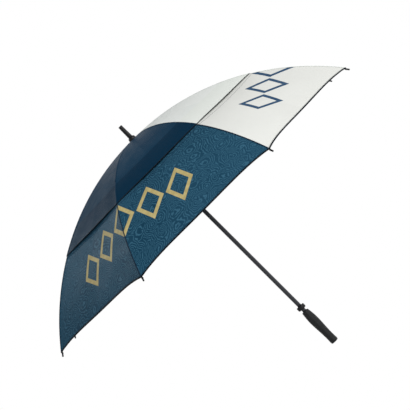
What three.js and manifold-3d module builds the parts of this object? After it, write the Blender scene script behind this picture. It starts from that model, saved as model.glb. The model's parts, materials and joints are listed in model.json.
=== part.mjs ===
// A golf umbrella with a double canopy, standing on the end of its handle with the canopy open.
// Millimetres, +Z up along the shaft, origin at the centre of the handle's end face.
import * as THREE from "three";
import { mergeVertices } from "three/addons/utils/BufferGeometryUtils.js";
import Module from "manifold-3d";

const wasm = await Module();
wasm.setup();

// ---------------------------------------------------------------- driving dimensions

const RIB_COUNT = 8;
const RIB_STEP = (2 * Math.PI) / RIB_COUNT;
const FIRST_RIB_AZIMUTH = THREE.MathUtils.degToRad(-157.5);
const FIT_GAP = 0.3; // between pieces that are assembled tight

// The open canopy follows a sphere cap centred on the shaft.
const CANOPY_RADIUS = 878; // to the outside of the fabric, along a rib
const CANOPY_TOP_Z = 939;
const CANOPY_CENTRE_Z = CANOPY_TOP_Z - CANOPY_RADIUS;
const CANOPY_HALF_ANGLE = THREE.MathUtils.degToRad(50.45); // from the shaft to the hem
const FABRIC = 0.5; // thickness
const LAYER_GAP = 1.2; // between the upper and the lower canopy
const CROWN_HOLE_RADIUS = 15;
const VENT_HEM = 0.6; // where the upper canopy ends, as a share of the arc
const LOWER_START = 0.46; // where the lower canopy starts, as a share of the arc
const UPPER_ROWS = 8;
const LOWER_ROWS = 7;
const HEM_SCALLOP = 7; // how far a hem pulls in between two ribs
const PETAL_GAP = 0.2; // half the gap between neighbouring petals

// Ribs: round rods on an arc inside the canopy.
const ROD_RADIUS = 1.8;
const ROD_SIDES = 6;
const RIB_ARC_RADIUS = 872.2;
const RIB_JOINT = 0.45; // where the stretcher joins the rib, as a share of the arc
const ROD_END_ARC = 9; // how far the rod runs past the hem
const PLATE = 2.4; // thickness of tabs, eyes and stretcher bars
const BAR_HALF_HEIGHT = 2;
const EYE_RADIUS = 2.2;
const EYE_SIDES = 8;
const PIN_RADIUS = 0.8;
const PIN_HOLE_RADIUS = 1.15;
const SLOT = 3.6; // width of every slot that a tab or bar turns in

// Fork at the rib joint, which carries the outer rib's pin and the stretcher's pin below it.
const FORK_WIDTH = 6.2;
const FORK_BACK = 13; // how far its block reaches back along the rib
const FORK_WEB = 5; // from the pin to the block
const STRETCHER_DROP = 6; // the stretcher's pin, below the rib's centreline
const STRETCHER_LENGTH = 370; // pin to pin

const TIP_RADIUS = 2.6;
const TIP_LENGTH = 13.5;
const TIP_SOCKET = 9;
const TIP_START_ARC = 0.6; // past the hem

// Hub: the notch that the ribs turn in, and the runner that the stretchers turn in.
const PIVOT_RADIUS = 12;
const WIRE_RADIUS = 0.6;
const WIRE_TUNNEL_RADIUS = 0.9;
const HUB_RADIUS = 15;
const HUB_CORE_RADIUS = 9;
const NOTCH_HALF_HEIGHT = 4;
const RUNNER_HEAD_BELOW = 5.5;
const RUNNER_HEAD_ABOVE = 3.5;
const RUNNER_SLEEVE = 40; // from the pivot down to the runner's lower end

// Shaft and what is fixed to it.
const TOTAL_LENGTH = 1000;
const SHAFT_RADIUS = 7;
const SHAFT_BORE = 5.5;
const STEM_RADIUS = SHAFT_BORE - FIT_GAP;
const SHAFT_BOTTOM_Z = 8;
const SHAFT_TOP_Z = 946;
const SLEEVE_BORE = SHAFT_RADIUS + FIT_GAP;
const FERRULE_NECK_RADIUS = 6.9; // inside the crown cap
const FERRULE_BASE_RADIUS = 7.7;
const FERRULE_TIP_RADIUS = 6.8;
const FERRULE_STEM = 24;
const CAP_RADIUS = 14;
const CAP_BOTTOM_Z = 938.2;
const CAP_TOP_Z = 950;
const COLLAR_HEIGHT = 6;
const COLLAR_RADIUS = 9.5;
const TIP_CUP_RADIUS = 14.8;
const TIP_CUP_BOTTOM_Z = 151;
const TIP_CUP_TOP_Z = 164;

const GRIP_BOTTOM_Z = 3.3;
const GRIP_TOP_Z = 141;
const GRIP_TOP_RADIUS = 12.2;
const GRIP_BELLY_RADIUS = 16;
const GRIP_BELLY_Z = 98;
const GRIP_WAIST_RADIUS = 13.2;
const GRIP_WAIST_Z = 28;
const GRIP_END_RADIUS = 14;
const END_CAP_HEIGHT = 3;
const END_CAP_STEM = 22;

const BUTTON_WIDTH = 5.4;
const BUTTON_HEIGHT = 14;
const BUTTON_DROP = 22; // the button's middle, below the runner's pivots
const BUTTON_OUT = 3.2; // how far it stands out of the sleeve
const BUTTON_BEHIND = 0.9;

const STRAP_WIDTH = 22;
const STRAP_THICKNESS = 1;
const STRAP_START = 0.66; // shares of the arc
const STRAP_END = 0.93;
const STRAP_SIDE = 14; // from the rib to the strap's near edge
const STRAP_LIFT = 0.5;
const STRAP_RIB = 6;

const ROUND_SIDES = 24;

// ---------------------------------------------------------------- materials

const finish = (color, roughness, metalness = 0) =>
  new THREE.MeshStandardMaterial({ color, roughness, metalness });
const MATERIALS = {
  navy: finish(0x27506a, 0.75),
  white: finish(0xe7e8e6, 0.75),
  fibreglass: finish(0x26282b, 0.45),
  steel: finish(0xb9bcc0, 0.3, 1),
  blackPlastic: finish(0x1c1d1f, 0.5),
  greyShaft: finish(0x35373a, 0.35, 0.3),
  rubber: finish(0x2e2f30, 0.85),
};
const NAVY_GORES = [true, true, false, false, true, true, false, false];

// ---------------------------------------------------------------- solids

function toSolid(geometry) {
  const bare = geometry.index ? geometry.toNonIndexed() : geometry.clone();
  bare.deleteAttribute("normal");
  bare.deleteAttribute("uv");
  const merged = mergeVertices(bare, 1e-4);
  return new wasm.Manifold(
    new wasm.Mesh({
      numProp: 3,
      vertProperties: merged.attributes.position.array,
      triVerts: new Uint32Array(merged.index.array),
    }),
  );
}

function toGeometry(solid) {
  const mesh = solid.getMesh();
  const geometry = new THREE.BufferGeometry();
  const positions = new THREE.BufferAttribute(mesh.vertProperties, 3);
  geometry.setAttribute("position", positions);
  geometry.setIndex(new THREE.BufferAttribute(mesh.triVerts, 1));
  return geometry;
}

const joined = (...solids) => solids.reduce((a, b) => a.add(b));

function namedMesh(name, shape, material) {
  const geometry = shape.isBufferGeometry ? shape : toGeometry(shape);
  const mesh = new THREE.Mesh(geometry, material);
  mesh.name = name;
  return mesh;
}

// A solid of revolution about Z. The outline is a closed list of [radius, z].
function turned(outline, sides = ROUND_SIDES) {
  const points = outline.map(([r, z]) => new THREE.Vector2(r, z));
  const closed = outline.every(([r]) => r > 0) ? [...points, points[0].clone()] : points;
  return toSolid(new THREE.LatheGeometry(closed, sides).rotateX(Math.PI / 2));
}

// A plate in the XZ plane, centred on Y = 0, from a shape drawn in (x, z).
function plate(shape, thickness) {
  const settings = { depth: thickness, bevelEnabled: false, curveSegments: EYE_SIDES / 2 };
  const geometry = new THREE.ExtrudeGeometry(shape, settings);
  geometry.translate(0, 0, -thickness / 2);
  return toSolid(geometry.rotateX(Math.PI / 2));
}

// A short cylinder along Y at (x, z).
function crossPin(radius, length, x, z) {
  const geometry = new THREE.CylinderGeometry(radius, radius, length, EYE_SIDES);
  return toSolid(geometry.translate(x, 0, z));
}

function box(width, depth, height, x = 0, y = 0, z = 0) {
  return toSolid(new THREE.BoxGeometry(width, depth, height).translate(x, y, z));
}

function ring(radius, wireRadius, sides) {
  return toSolid(new THREE.TorusGeometry(radius, wireRadius, sides, ROUND_SIDES));
}

// ---------------------------------------------------------------- the rib's own plane
// Every rib lies in a plane through the shaft: x is the radius, z the height, and y the way round.

// A point on an arc about the canopy's centre, at an angle from the shaft.
const onArc = (radius, angle) =>
  new THREE.Vector3(radius * Math.sin(angle), 0, CANOPY_CENTRE_Z + radius * Math.cos(angle));
const angleAt = (share) => share * CANOPY_HALF_ANGLE;

const PIVOT_ANGLE = Math.asin(PIVOT_RADIUS / RIB_ARC_RADIUS);
const JOINT_ANGLE = angleAt(RIB_JOINT);
const ROD_END_ANGLE = CANOPY_HALF_ANGLE + ROD_END_ARC / RIB_ARC_RADIUS;
const RIB_PIVOT = onArc(RIB_ARC_RADIUS, PIVOT_ANGLE);
const RIB_JOINT_PIN = onArc(RIB_ARC_RADIUS, JOINT_ANGLE);
const STRETCHER_PIN = onArc(RIB_ARC_RADIUS - STRETCHER_DROP, JOINT_ANGLE);
const RUNNER_PIVOT = new THREE.Vector3(
  PIVOT_RADIUS,
  0,
  STRETCHER_PIN.z - Math.sqrt(STRETCHER_LENGTH ** 2 - (STRETCHER_PIN.x - PIVOT_RADIUS) ** 2),
);

// Moves a solid drawn about the origin, with +X outwards along the rib, to a place on the arc.
function alongRib(solid, angle) {
  const place = onArc(RIB_ARC_RADIUS, angle);
  const turn = new THREE.Matrix4().makeRotationY(angle);
  turn.setPosition(place);
  return solid.transform(turn.elements);
}

class RibArc extends THREE.Curve {
  constructor(from, to) {
    super();
    this.from = from;
    this.to = to;
  }

  getPoint(share) {
    return onArc(RIB_ARC_RADIUS, this.from + share * (this.to - this.from));
  }
}

function rod(from, to, steps) {
  const section = new THREE.Shape();
  for (let i = 0; i < ROD_SIDES; i++) {
    const turn = ((i + 0.5) / ROD_SIDES) * 2 * Math.PI;
    const [x, y] = [ROD_RADIUS * Math.cos(turn), ROD_RADIUS * Math.sin(turn)];
    i ? section.lineTo(x, y) : section.moveTo(x, y);
  }
  const settings = { steps, extrudePath: new RibArc(from, to) };
  return toSolid(new THREE.ExtrudeGeometry(section, settings));
}

// A flat bar from an eye at the origin to +X, with a hole through the eye.
function eyeBar(length, holeRadius, eyeRadius = EYE_RADIUS) {
  const shape = new THREE.Shape();
  const shoulder = Math.sqrt(eyeRadius ** 2 - BAR_HALF_HEIGHT ** 2);
  const bend = Math.asin(BAR_HALF_HEIGHT / eyeRadius);
  shape.moveTo(shoulder, BAR_HALF_HEIGHT);
  shape.absarc(0, 0, eyeRadius, bend, 2 * Math.PI - bend, false);
  shape.lineTo(length, -BAR_HALF_HEIGHT);
  shape.lineTo(length, BAR_HALF_HEIGHT);
  shape.holes.push(new THREE.Path().absarc(0, 0, holeRadius, 0, 2 * Math.PI, true));
  return plate(shape, PLATE);
}

function makeFork() {
  const cheek = new THREE.Shape();
  const nose = 2.6;
  const rise = 2.3;
  cheek.moveTo(-FORK_BACK, rise);
  cheek.absarc(0, 0, nose, Math.PI / 2, 0, true);
  cheek.absarc(0, -STRETCHER_DROP, nose, 0, -Math.PI, true);
  cheek.lineTo(-2 * nose, -rise);
  cheek.lineTo(-FORK_BACK, -rise);
  const slotLength = FORK_WEB + 2 * nose;
  const slot = box(slotLength, SLOT, 4 * FORK_WIDTH, slotLength / 2 - FORK_WEB);
  const pinLength = FORK_WIDTH - 1;
  return joined(
    plate(cheek, FORK_WIDTH).subtract(slot),
    crossPin(PIN_RADIUS, pinLength, 0, 0),
    crossPin(PIN_RADIUS, pinLength, 0, -STRETCHER_DROP),
  );
}

const TAB_INNER = 20;
const TAB_OUTER = 18;
const ROD_OVERLAP = 8;

function makeInnerRib() {
  const rodStart = PIVOT_ANGLE + (TAB_INNER - ROD_OVERLAP) / RIB_ARC_RADIUS;
  const rodEnd = JOINT_ANGLE - (FORK_BACK - 2) / RIB_ARC_RADIUS;
  return joined(
    alongRib(eyeBar(TAB_INNER, WIRE_TUNNEL_RADIUS + 0.1), PIVOT_ANGLE),
    rod(rodStart, rodEnd, 5),
    alongRib(makeFork(), JOINT_ANGLE),
  );
}

function makeOuterRib() {
  const rodStart = JOINT_ANGLE + (TAB_OUTER - ROD_OVERLAP) / RIB_ARC_RADIUS;
  return joined(
    alongRib(eyeBar(TAB_OUTER, PIN_HOLE_RADIUS), JOINT_ANGLE),
    rod(rodStart, ROD_END_ANGLE, 6),
  );
}

function makeRibTip() {
  const socket = ROD_RADIUS + FIT_GAP;
  const round = TIP_RADIUS * 0.7;
  const upright = turned(
    [
      [0, TIP_SOCKET],
      [socket, TIP_SOCKET],
      [socket, 0],
      [TIP_RADIUS, 0],
      [TIP_RADIUS, TIP_LENGTH - TIP_RADIUS],
      [round, TIP_LENGTH - TIP_RADIUS + round],
      [0, TIP_LENGTH],
    ],
    8,
  );
  const lying = upright.rotate([0, 90, 0]);
  return alongRib(lying, CANOPY_HALF_ANGLE + TIP_START_ARC / RIB_ARC_RADIUS);
}

// A flat bar with an eye at each end: the stretcher, from the rib's fork to the runner.
function makeStretcher() {
  const shape = new THREE.Shape();
  const half = BAR_HALF_HEIGHT;
  shape.moveTo(0, half);
  shape.absarc(0, 0, half, Math.PI / 2, (3 * Math.PI) / 2, false);
  shape.absarc(STRETCHER_LENGTH, 0, half, -Math.PI / 2, Math.PI / 2, false);
  const pinHole = new THREE.Path().absarc(0, 0, PIN_HOLE_RADIUS, 0, 2 * Math.PI, true);
  const wireHole = new THREE.Path();
  wireHole.absarc(STRETCHER_LENGTH, 0, WIRE_TUNNEL_RADIUS, 0, 2 * Math.PI, true);
  shape.holes.push(pinHole, wireHole);
  const run = RUNNER_PIVOT.clone().sub(STRETCHER_PIN);
  const turn = new THREE.Matrix4().makeRotationY(Math.atan2(-run.z, run.x));
  turn.setPosition(STRETCHER_PIN);
  return plate(shape, PLATE).transform(turn.elements);
}

// ---------------------------------------------------------------- canopy petals

// A sheet solid from a grid of outer points and the matching grid of inner points.
function sheetSolid(outer, inner) {
  const rows = outer.length;
  const columns = outer[0].length;
  const positions = [...outer, ...inner].flat().flatMap((p) => [p.x, p.y, p.z]);
  const at = (layer, i, j) => (layer * rows + i) * columns + j;
  const faces = [];
  const quad = (a, b, c, d) => faces.push(a, b, c, a, c, d);
  for (let i = 0; i + 1 < rows; i++)
    for (let j = 0; j + 1 < columns; j++) {
      quad(at(0, i, j), at(0, i + 1, j), at(0, i + 1, j + 1), at(0, i, j + 1));
      quad(at(1, i, j), at(1, i, j + 1), at(1, i + 1, j + 1), at(1, i + 1, j));
    }
  for (let j = 0; j + 1 < columns; j++) {
    quad(at(0, 0, j), at(0, 0, j + 1), at(1, 0, j + 1), at(1, 0, j));
    quad(at(0, rows - 1, j + 1), at(0, rows - 1, j), at(1, rows - 1, j), at(1, rows - 1, j + 1));
  }
  for (let i = 0; i + 1 < rows; i++) {
    quad(at(0, i + 1, 0), at(0, i, 0), at(1, i, 0), at(1, i + 1, 0));
    const last = columns - 1;
    quad(at(0, i, last), at(0, i + 1, last), at(1, i + 1, last), at(1, i, last));
  }
  const geometry = new THREE.BufferGeometry();
  geometry.setAttribute("position", new THREE.Float32BufferAttribute(positions, 3));
  geometry.setIndex(faces);
  return toSolid(geometry);
}

// A row of a petal: from the middle of one gore over the rib to the middle of the next.
function petalRow(radius, share, scallop) {
  const rib = onArc(radius, angleAt(share));
  const mid = onArc(radius, angleAt(share) - scallop / radius);
  const half = RIB_STEP / 2;
  const chord = mid.x * Math.cos(half);
  return [-1, 0, 1].map((side) => {
    if (!side) return rib;
    const across = chord * Math.sin(half) - PETAL_GAP;
    return new THREE.Vector3(chord * Math.cos(half), side * across, mid.z);
  });
}

function makePetal(radius, from, to, rows, scallop) {
  const grid = (r) =>
    Array.from({ length: rows + 1 }, (_, i) => {
      const along = i / rows;
      return petalRow(r, from + along * (to - from), scallop * along ** 3);
    });
  return sheetSolid(grid(radius), grid(radius - FABRIC));
}

const LOWER_RADIUS = CANOPY_RADIUS - FABRIC - LAYER_GAP;
const makeUpperPetal = () =>
  makePetal(
    CANOPY_RADIUS,
    CROWN_HOLE_RADIUS / CANOPY_RADIUS / CANOPY_HALF_ANGLE,
    VENT_HEM,
    UPPER_ROWS,
    HEM_SCALLOP * VENT_HEM,
  );
const makeLowerPetal = () =>
  makePetal(LOWER_RADIUS, LOWER_START, 1, LOWER_ROWS, HEM_SCALLOP);

// The closing strap lies along one half of a lower petal, on the outside.
function makeStrap() {
  const half = RIB_STEP / 2;
  const row = (radius, share) => {
    const rib = onArc(radius, angleAt(share));
    const inward = Math.sin(half);
    return [STRAP_SIDE, STRAP_SIDE + STRAP_WIDTH].map(
      (side) => new THREE.Vector3(rib.x - side * inward, side * Math.cos(half), rib.z),
    );
  };
  const grid = (radius) =>
    Array.from({ length: LOWER_ROWS + 1 }, (_, i) =>
      row(radius, STRAP_START + (i / LOWER_ROWS) * (STRAP_END - STRAP_START)),
    );
  const under = LOWER_RADIUS + STRAP_LIFT;
  return sheetSolid(grid(under + STRAP_THICKNESS), grid(under));
}

// ---------------------------------------------------------------- hub, shaft and handle

// Radial slots, one for each rib, from the hub's core outwards.
function ribSlots(height, z) {
  const length = HUB_RADIUS;
  const slot = box(length, SLOT, height, HUB_CORE_RADIUS + length / 2, 0, z);
  const turns = Array.from({ length: RIB_COUNT }, (_, k) => {
    const degrees = THREE.MathUtils.radToDeg(FIRST_RIB_AZIMUTH + k * RIB_STEP);
    return slot.rotate([0, 0, degrees]);
  });
  return joined(...turns);
}

function makeTopNotch() {
  const z = RIB_PIVOT.z;
  const [low, high] = [z - NOTCH_HALF_HEIGHT - 3, z + NOTCH_HALF_HEIGHT - 0.2];
  const edge = 1.5;
  const body = turned([
    [SLEEVE_BORE, low],
    [HUB_CORE_RADIUS + 1, low],
    [HUB_RADIUS, low + 3],
    [HUB_RADIUS, high - edge],
    [HUB_RADIUS - edge, high],
    [SLEEVE_BORE, high],
  ]);
  const tunnel = ring(PIVOT_RADIUS, WIRE_TUNNEL_RADIUS, 6).translate([0, 0, z]);
  return body.subtract(ribSlots(4 * NOTCH_HALF_HEIGHT, z)).subtract(tunnel);
}

const makeNotchWire = () => ring(PIVOT_RADIUS, WIRE_RADIUS, 6).translate([0, 0, RIB_PIVOT.z]);

// The button sits in a window in the runner's sleeve, halfway between two ribs.
const BUTTON_AZIMUTH = FIRST_RIB_AZIMUTH + 1.5 * RIB_STEP;
const BUTTON_Z = RUNNER_PIVOT.z - BUTTON_DROP;
const BOSS_REACH = 12;
const BOSS_WALL = 1.6;

function makeRunner() {
  const z = RUNNER_PIVOT.z;
  const [headLow, headHigh, foot] = [z - RUNNER_HEAD_BELOW, z + RUNNER_HEAD_ABOVE, z - RUNNER_SLEEVE];
  const lip = 2;
  const body = turned([
    [SLEEVE_BORE, foot],
    [HUB_CORE_RADIUS + lip, foot],
    [HUB_CORE_RADIUS + lip, foot + lip],
    [HUB_CORE_RADIUS, foot + 2 * lip],
    [HUB_CORE_RADIUS, headLow - lip],
    [HUB_RADIUS - lip, headLow],
    [HUB_RADIUS, headLow + lip],
    [HUB_RADIUS, headHigh],
    [SLEEVE_BORE, headHigh],
  ]);
  const slots = ribSlots(RUNNER_HEAD_BELOW + RUNNER_HEAD_ABOVE + 2 * lip, z);
  const degrees = THREE.MathUtils.radToDeg(BUTTON_AZIMUTH);
  const bossWidth = BUTTON_WIDTH + 2 * BOSS_WALL;
  const bossHeight = BUTTON_HEIGHT + 2 * BOSS_WALL;
  const bossStart = (SLEEVE_BORE + HUB_CORE_RADIUS) / 2;
  const bossLength = BOSS_REACH - bossStart;
  const boss = box(bossLength, bossWidth, bossHeight, bossStart + bossLength / 2, 0, BUTTON_Z);
  const bore = turned([
    [0, foot],
    [SLEEVE_BORE, foot],
    [SLEEVE_BORE, headHigh],
    [0, headHigh],
  ]);
  const window = box(
    2 * BOSS_REACH,
    BUTTON_WIDTH + 2 * FIT_GAP,
    BUTTON_HEIGHT + 2 * FIT_GAP,
    BOSS_REACH,
    0,
    BUTTON_Z,
  );
  return body
    .subtract(slots)
    .add(boss.rotate([0, 0, degrees]))
    .subtract(bore)
    .subtract(window.rotate([0, 0, degrees]));
}

function makeLatchButton() {
  const start = SHAFT_RADIUS + BUTTON_BEHIND + 2.5;
  const end = BOSS_REACH + BUTTON_OUT;
  const ease = 1.2;
  const shape = new THREE.Shape();
  shape.moveTo(start, -BUTTON_HEIGHT / 2);
  shape.lineTo(end - ease, -BUTTON_HEIGHT / 2);
  shape.lineTo(end, -BUTTON_HEIGHT / 2 + ease);
  shape.lineTo(end, BUTTON_HEIGHT / 2 - ease);
  shape.lineTo(end - ease, BUTTON_HEIGHT / 2);
  shape.lineTo(start, BUTTON_HEIGHT / 2);
  const degrees = THREE.MathUtils.radToDeg(BUTTON_AZIMUTH);
  return plate(shape, BUTTON_WIDTH).translate([0, 0, BUTTON_Z]).rotate([0, 0, degrees]);
}

const makeShaft = () =>
  turned([
    [SHAFT_BORE, SHAFT_BOTTOM_Z],
    [SHAFT_RADIUS, SHAFT_BOTTOM_Z],
    [SHAFT_RADIUS, SHAFT_TOP_Z],
    [SHAFT_BORE, SHAFT_TOP_Z],
  ]);

function makeFerrule() {
  const base = SHAFT_TOP_Z + FIT_GAP;
  const shoulder = CAP_TOP_Z + FIT_GAP;
  const ease = 1.2;
  return turned([
    [0, base - FERRULE_STEM],
    [STEM_RADIUS, base - FERRULE_STEM],
    [STEM_RADIUS, base],
    [FERRULE_NECK_RADIUS, base],
    [FERRULE_NECK_RADIUS, shoulder],
    [FERRULE_BASE_RADIUS, shoulder],
    [FERRULE_TIP_RADIUS, TOTAL_LENGTH - ease],
    [FERRULE_TIP_RADIUS - ease, TOTAL_LENGTH],
    [0, TOTAL_LENGTH],
  ]);
}

function makeCrownCap() {
  const rise = CAP_TOP_Z - CAP_BOTTOM_Z;
  return turned([
    [SLEEVE_BORE, CAP_BOTTOM_Z],
    [CAP_RADIUS - 0.5, CAP_BOTTOM_Z],
    [CAP_RADIUS, CAP_BOTTOM_Z + 0.15 * rise],
    [CAP_RADIUS - 0.6, CAP_BOTTOM_Z + 0.45 * rise],
    [CAP_RADIUS - 2.4, CAP_BOTTOM_Z + 0.78 * rise],
    [CAP_RADIUS - 5, CAP_TOP_Z],
    [SLEEVE_BORE, CAP_TOP_Z],
  ]);
}

function makeCatchCollar() {
  const low = RUNNER_PIVOT.z + RUNNER_HEAD_ABOVE + 1;
  const ease = 1;
  return turned([
    [SLEEVE_BORE, low],
    [COLLAR_RADIUS, low],
    [COLLAR_RADIUS, low + COLLAR_HEIGHT - ease],
    [COLLAR_RADIUS - ease, low + COLLAR_HEIGHT],
    [SLEEVE_BORE, low + COLLAR_HEIGHT],
  ]);
}

function makeTipCup() {
  const wall = 1.8;
  const floor = 5;
  return turned([
    [SLEEVE_BORE, TIP_CUP_BOTTOM_Z],
    [TIP_CUP_RADIUS - wall, TIP_CUP_BOTTOM_Z],
    [TIP_CUP_RADIUS, TIP_CUP_BOTTOM_Z + wall],
    [TIP_CUP_RADIUS, TIP_CUP_TOP_Z],
    [TIP_CUP_RADIUS - wall, TIP_CUP_TOP_Z],
    [TIP_CUP_RADIUS - wall, TIP_CUP_BOTTOM_Z + floor],
    [SLEEVE_BORE, TIP_CUP_BOTTOM_Z + floor],
  ]);
}

// The grip swells from its top to its belly, narrows to a waist and flares a little to its end.
function gripRadius(z) {
  if (z > GRIP_BELLY_Z) {
    const share = (GRIP_TOP_Z - z) / (GRIP_TOP_Z - GRIP_BELLY_Z);
    const swell = Math.sin((share * Math.PI) / 2);
    return GRIP_TOP_RADIUS + (GRIP_BELLY_RADIUS - GRIP_TOP_RADIUS) * swell;
  }
  const share = (z - GRIP_WAIST_Z) / (GRIP_BELLY_Z - GRIP_WAIST_Z);
  if (share < 0) {
    const flare = (GRIP_WAIST_Z - z) / (GRIP_WAIST_Z - GRIP_BOTTOM_Z);
    return GRIP_WAIST_RADIUS + (GRIP_END_RADIUS - GRIP_WAIST_RADIUS) * flare ** 2;
  }
  const swell = (1 - Math.cos(share * Math.PI)) / 2;
  return GRIP_WAIST_RADIUS + (GRIP_BELLY_RADIUS - GRIP_WAIST_RADIUS) * swell;
}

function makeGrip() {
  const ease = 1.5;
  const steps = 14;
  const outline = [
    [SLEEVE_BORE, GRIP_BOTTOM_Z],
    [GRIP_END_RADIUS - ease, GRIP_BOTTOM_Z],
  ];
  for (let i = 0; i <= steps; i++) {
    const z = GRIP_BOTTOM_Z + ease + (i / steps) * (GRIP_TOP_Z - GRIP_BOTTOM_Z - ease);
    outline.push([gripRadius(z), z]);
  }
  outline.push([SLEEVE_BORE, GRIP_TOP_Z]);
  return turned(outline);
}

const makeGripEndCap = () =>
  turned([
    [0, 0],
    [GRIP_END_RADIUS - 2, 0],
    [GRIP_END_RADIUS - 1, 1],
    [GRIP_END_RADIUS - 1, END_CAP_HEIGHT],
    [STEM_RADIUS, END_CAP_HEIGHT],
    [STEM_RADIUS, END_CAP_STEM],
    [0, END_CAP_STEM],
  ]);

// ---------------------------------------------------------------- assembly

const umbrella = new THREE.Group();
umbrella.add(
  namedMesh("shaft", makeShaft(), MATERIALS.greyShaft),
  namedMesh("ferrule", makeFerrule(), MATERIALS.blackPlastic),
  namedMesh("crown_cap", makeCrownCap(), MATERIALS.blackPlastic),
  namedMesh("top_notch", makeTopNotch(), MATERIALS.blackPlastic),
  namedMesh("notch_wire", makeNotchWire(), MATERIALS.steel),
  namedMesh("catch_collar", makeCatchCollar(), MATERIALS.steel),
  namedMesh("runner", makeRunner(), MATERIALS.blackPlastic),
  namedMesh("latch_button", makeLatchButton(), MATERIALS.blackPlastic),
  namedMesh("tip_cup", makeTipCup(), MATERIALS.blackPlastic),
  namedMesh("grip", makeGrip(), MATERIALS.rubber),
  namedMesh("grip_end_cap", makeGripEndCap(), MATERIALS.blackPlastic),
);

const ribParts = {
  rib_inner: [toGeometry(makeInnerRib()), MATERIALS.fibreglass],
  rib_outer: [toGeometry(makeOuterRib()), MATERIALS.fibreglass],
  rib_tip: [toGeometry(makeRibTip()), MATERIALS.blackPlastic],
  stretcher: [toGeometry(makeStretcher()), MATERIALS.fibreglass],
  canopy_upper: [toGeometry(makeUpperPetal())],
  canopy_lower: [toGeometry(makeLowerPetal())],
};
for (let k = 0; k < RIB_COUNT; k++) {
  const station = new THREE.Group();
  station.rotation.z = FIRST_RIB_AZIMUTH + k * RIB_STEP;
  const fabric = NAVY_GORES[k] ? MATERIALS.navy : MATERIALS.white;
  for (const [part, [geometry, material]] of Object.entries(ribParts))
    station.add(namedMesh(`${part}_${k + 1}`, geometry, material ?? fabric));
  if (k + 1 === STRAP_RIB) station.add(namedMesh("closing_strap", makeStrap(), MATERIALS.navy));
  umbrella.add(station);
}

export default umbrella;
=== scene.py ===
"""The looks of a golf umbrella with a double canopy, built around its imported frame.
Metres, +Z up the shaft, origin at the end of the handle, which is where the CAD frame has them."""
import json
from math import asin, atan2, copysign, cos, hypot, pi, radians, sin
import bmesh
import bpy
from mathutils import Matrix, Vector


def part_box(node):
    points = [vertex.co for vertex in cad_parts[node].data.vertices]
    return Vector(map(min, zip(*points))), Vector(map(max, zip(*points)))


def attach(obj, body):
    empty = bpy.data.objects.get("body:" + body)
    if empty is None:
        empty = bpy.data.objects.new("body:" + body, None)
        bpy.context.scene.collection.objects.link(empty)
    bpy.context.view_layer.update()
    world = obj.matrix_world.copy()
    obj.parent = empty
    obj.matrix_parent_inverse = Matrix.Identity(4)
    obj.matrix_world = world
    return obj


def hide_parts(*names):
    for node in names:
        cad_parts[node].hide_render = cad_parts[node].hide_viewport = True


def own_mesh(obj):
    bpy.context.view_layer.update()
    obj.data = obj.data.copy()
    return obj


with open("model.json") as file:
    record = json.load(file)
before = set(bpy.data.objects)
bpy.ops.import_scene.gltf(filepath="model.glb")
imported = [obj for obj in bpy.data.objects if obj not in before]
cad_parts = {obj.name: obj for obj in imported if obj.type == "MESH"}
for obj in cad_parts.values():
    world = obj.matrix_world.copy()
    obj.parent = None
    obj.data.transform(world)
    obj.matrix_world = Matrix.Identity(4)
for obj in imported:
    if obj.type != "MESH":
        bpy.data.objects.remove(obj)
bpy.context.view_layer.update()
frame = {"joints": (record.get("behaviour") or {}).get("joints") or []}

# ---- sizes, from the frame

JOINTS = {joint["name"]: joint for joint in frame["joints"]}
RIBS = 8
TURN = 2 * pi
STEP = TURN / RIBS
HALF_STEP = STEP / 2


def rib_azimuth(rib):
    x, y, _ = JOINTS[f"rib_{rib}_fold"]["pos_m"]
    return atan2(y, x)


def in_rib_plane(joint):
    """A joint's pin in its rib's own plane: (radius, height)."""
    x, y, z = JOINTS[joint]["pos_m"]
    return hypot(x, y), z


PIVOT_R, PIVOT_Z = in_rib_plane("rib_1_fold")
JOINT_R, JOINT_Z = in_rib_plane("rib_1_flex")
PIN_R, PIN_Z = in_rib_plane("stretcher_1_fold")

# The canopy is part of a ball. A share is a place on the arc from the shaft, 0, to the hem, 1.
CANOPY_RADIUS = 0.878  # to the upper canopy's outer face
CAP_LAP = 0.0008  # how far the crown cap's rim is below the canopy's top
CANOPY_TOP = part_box("crown_cap")[0].z + CAP_LAP
CENTRE_Z = CANOPY_TOP - CANOPY_RADIUS
HALF_ANGLE = radians(50.45)
ARC_LENGTH = CANOPY_RADIUS * HALF_ANGLE
LOWER_RADIUS = CANOPY_RADIUS - 0.0017  # to the lower canopy's outer face
CLOTH = 0.0005  # thickness
CROWN_SHARE = 0.012 / CANOPY_RADIUS / HALF_ANGLE  # where the cloth starts, under the crown cap
JOINT_SHARE = 0.45  # where the upper canopy is divided, over the ribs' joints
VENT_SHARE = 0.6  # the upper canopy's edge
LOWER_START = 0.462  # the lower canopy's upper edge
HEM_SCALLOP = 0.019  # how far an edge is drawn in between two ribs
VENT_SCALLOP = 0.006
SCALLOP_POWER = 4  # how soon beside a rib it is drawn in
LOWER_SAG = 0.009  # how far the cloth sinks between two ribs
SAG_AT_TOP = 0.75  # the share of it that the lower canopy's upper edge sinks
UPPER_SAG = 0.003
RIB_RADIUS = hypot(JOINT_R, JOINT_Z - CENTRE_Z)

NAVY_GORES = (True, True, False, False, True, True, False, False)  # the gore after each rib
STRAP_RIB = 6


# ---- mesh helpers

CREASE_ANGLE = radians(9)
BEVEL_ANGLE = radians(35)
ON_AXIS = 1e-6
ARC_STEPS = 10


def add_object(name, data):
    obj = bpy.data.objects.new(name, data)
    bpy.context.scene.collection.objects.link(obj)
    return obj


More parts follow.
